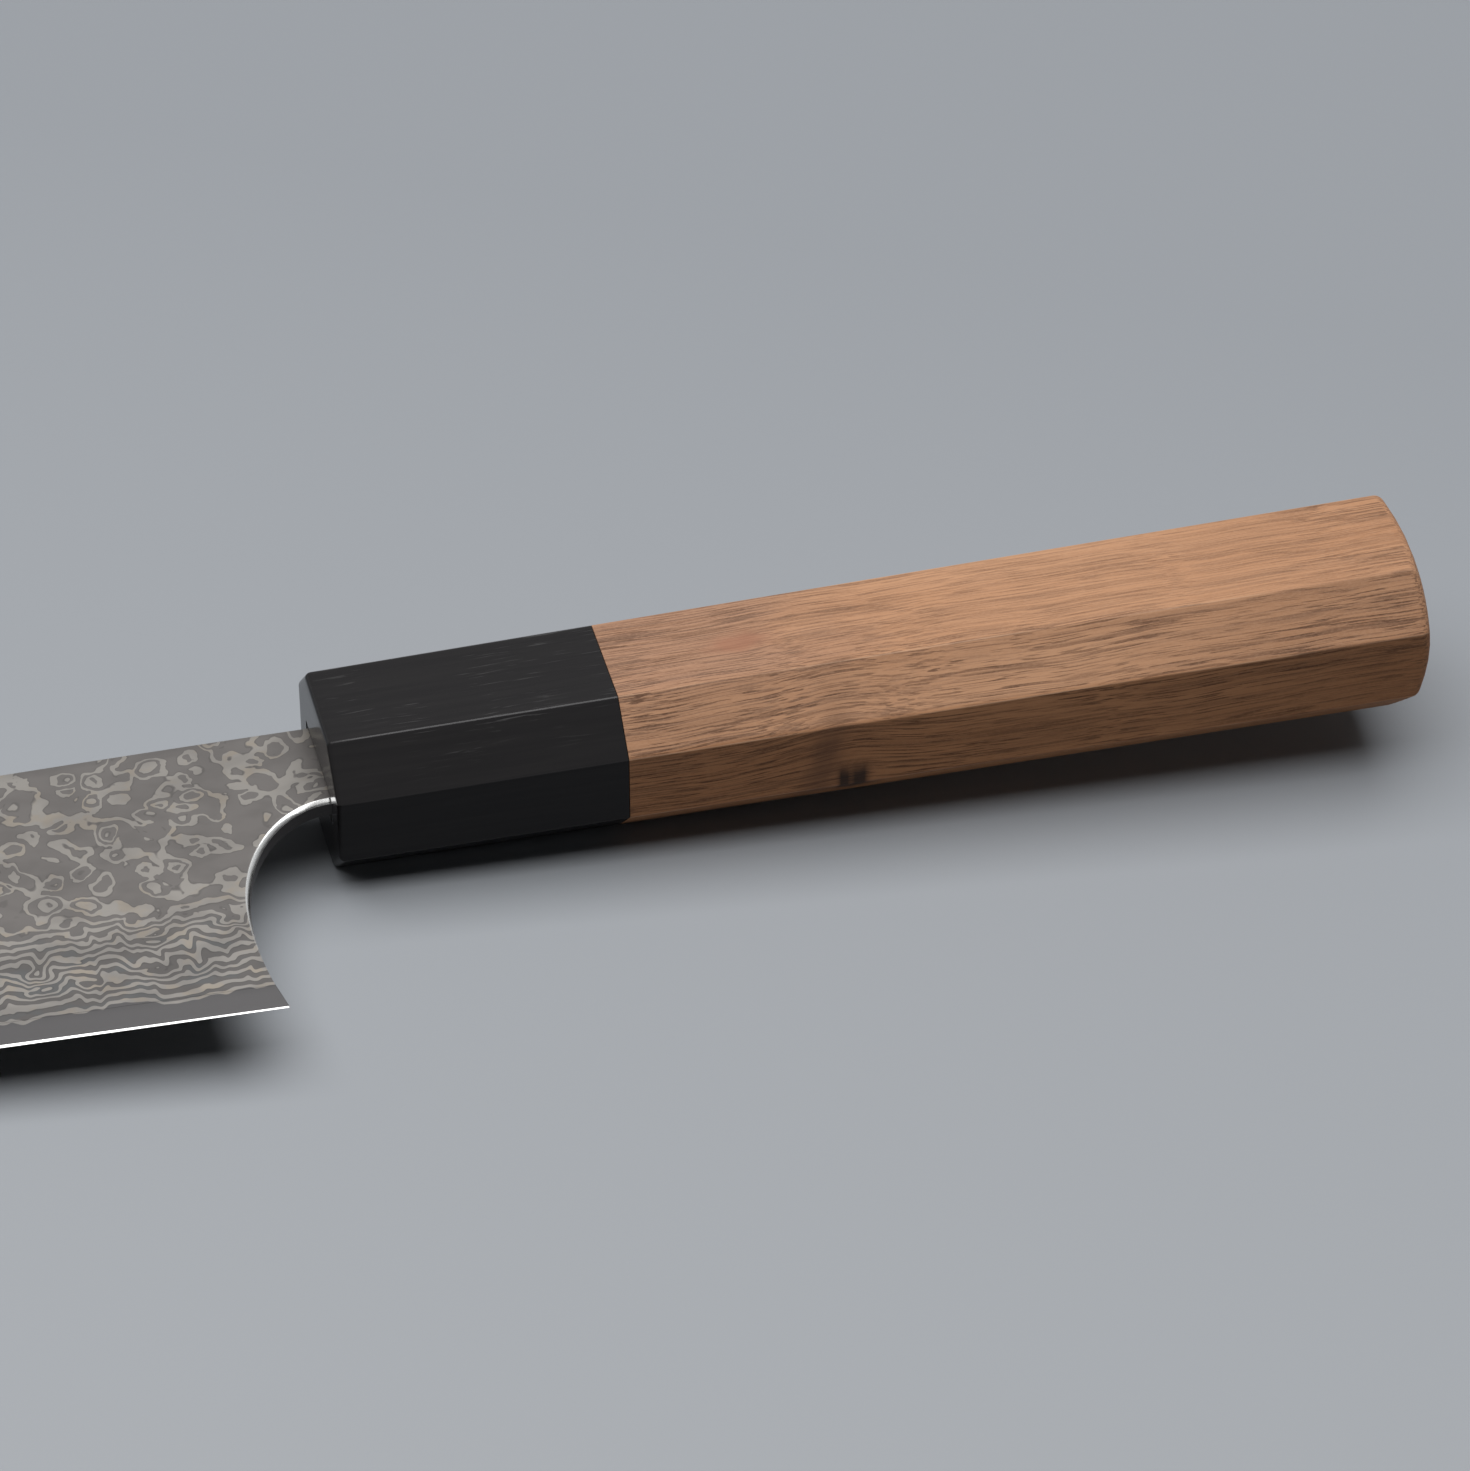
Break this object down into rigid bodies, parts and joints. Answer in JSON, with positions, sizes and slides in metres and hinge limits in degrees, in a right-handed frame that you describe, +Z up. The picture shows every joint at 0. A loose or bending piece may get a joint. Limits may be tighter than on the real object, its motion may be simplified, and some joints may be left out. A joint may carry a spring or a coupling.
{
  "type": "bunka knife",
  "caption": "Bunka kitchen knife with a patterned laminated blade, an angled clip point, a black ferrule and an octagonal walnut handle on a hidden tang.",
  "frame": {"origin": "on the table under the middle of the knife's box, as the knife lies at rest on its side", "axes": "+X along the knife towards the butt, +Y across the blade towards the spine, +Z up from the table; the knife's own length dips 2.9 degrees towards the point"},
  "size_m": [0.3128, 0.0522, 0.026],
  "materials": {
    "core_steel": "fine satin, ground to the edge",
    "etched_steel": "etched two-tone layered pattern",
    "black_horn": "polished, near black",
    "dark_resin": "cured bead",
    "pale_wood": "unfinished, hidden",
    "amber_resin": "cured, hidden",
    "walnut": "oiled, matte"
  },
  "bodies": {
    "root": {"blade_core": "core_steel", "cladding_upper": "etched_steel", "cladding_lower": "etched_steel", "ferrule": "black_horn", "mouth_seal": "dark_resin", "dowel": "pale_wood", "tang_bed": "amber_resin", "handle_body": "walnut"}
  },
  "joints": []
}
